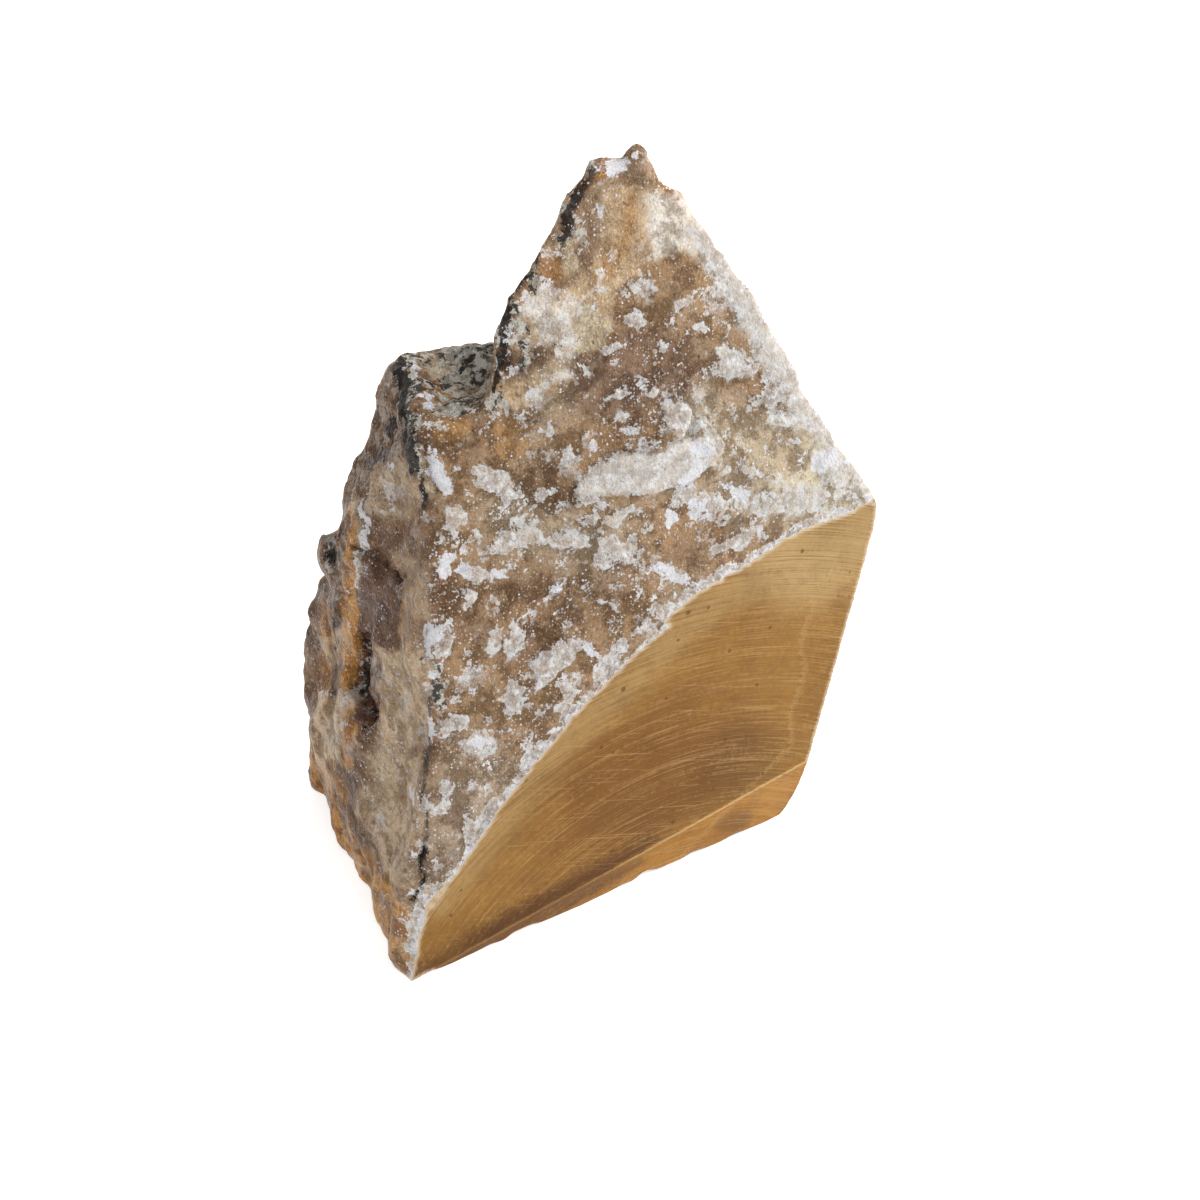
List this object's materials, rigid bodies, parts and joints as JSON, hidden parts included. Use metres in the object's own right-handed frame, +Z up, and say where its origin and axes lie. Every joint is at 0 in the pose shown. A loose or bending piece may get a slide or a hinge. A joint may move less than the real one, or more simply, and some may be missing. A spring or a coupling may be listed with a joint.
{
  "type": "raw alabaster block",
  "caption": "Rough block of honey alabaster, broken on its faces, with a sawn front face and a sawn base it stands on.",
  "frame": {"origin": "bottom centre of the stone's bounding box, on the plane of the sawn base", "axes": "+Z up, the stone's longest extent; -Y towards the front corner of the foot and the broken front face; +X towards the sharp right edge"},
  "size_m": [0.149, 0.1122, 0.1887],
  "materials": {
    "alabaster": "translucent, rough broken faces, matt sawn faces and a weathered crust"
  },
  "bodies": {
    "root": {"alabaster_block": "alabaster"}
  },
  "joints": []
}
